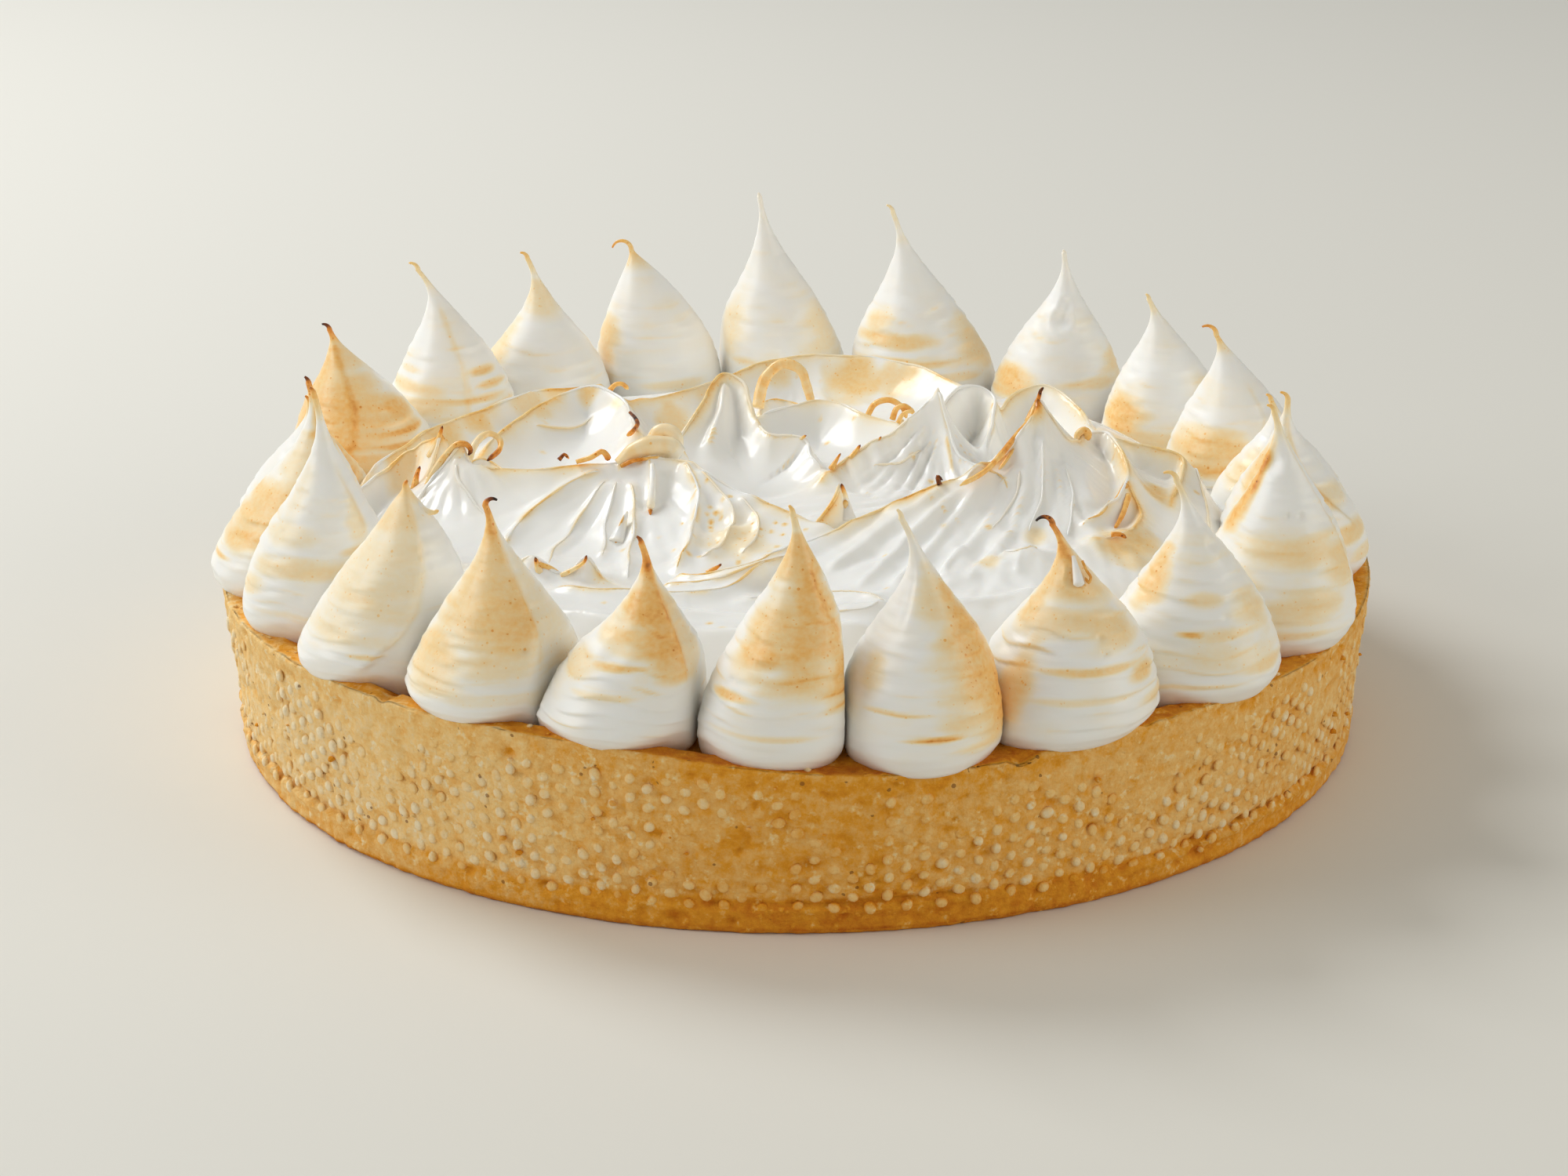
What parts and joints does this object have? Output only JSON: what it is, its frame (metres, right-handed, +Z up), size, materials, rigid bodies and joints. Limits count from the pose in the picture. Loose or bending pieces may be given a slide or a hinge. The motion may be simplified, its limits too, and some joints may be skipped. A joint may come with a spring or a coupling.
{
  "type": "lemon meringue pie",
  "caption": "Round dessert tart to be served or cut: a straight-sided pastry shell topped with swirled toasted meringue inside a ring of piped peaks.",
  "frame": {"origin": "middle of the flat underside of the pastry shell", "axes": "+Z up, -Y towards the front, +X to the right seen from the front"},
  "size_m": [0.2401, 0.2424, 0.0836],
  "materials": {
    "pastry": "baked shortcrust pastry, golden tan, dry and slightly rough, with pale raised dots left by a perforated baking ring and a darker cut rim",
    "piped_meringue": "piped meringue, satin white with fine rings, torched to tan and amber in patches, with dark brown tips",
    "swirled_meringue": "swirled meringue, glossy white, with thin amber lines where the torch caught its crests"
  },
  "bodies": {
    "root": {"crust": "pastry", "meringue_centre": "swirled_meringue", "meringue_kiss_01": "piped_meringue", "meringue_kiss_02": "piped_meringue", "meringue_kiss_03": "piped_meringue", "meringue_kiss_04": "piped_meringue", "meringue_kiss_05": "piped_meringue", "meringue_kiss_06": "piped_meringue", "meringue_kiss_07": "piped_meringue", "meringue_kiss_08": "piped_meringue", "meringue_kiss_09": "piped_meringue", "meringue_kiss_10": "piped_meringue", "meringue_kiss_11": "piped_meringue", "meringue_kiss_12": "piped_meringue", "meringue_kiss_13": "piped_meringue", "meringue_kiss_14": "piped_meringue", "meringue_kiss_15": "piped_meringue", "meringue_kiss_16": "piped_meringue", "meringue_kiss_17": "piped_meringue", "meringue_kiss_18": "piped_meringue", "meringue_kiss_19": "piped_meringue", "meringue_kiss_20": "piped_meringue", "meringue_kiss_21": "piped_meringue", "meringue_kiss_22": "piped_meringue"}
  },
  "joints": []
}
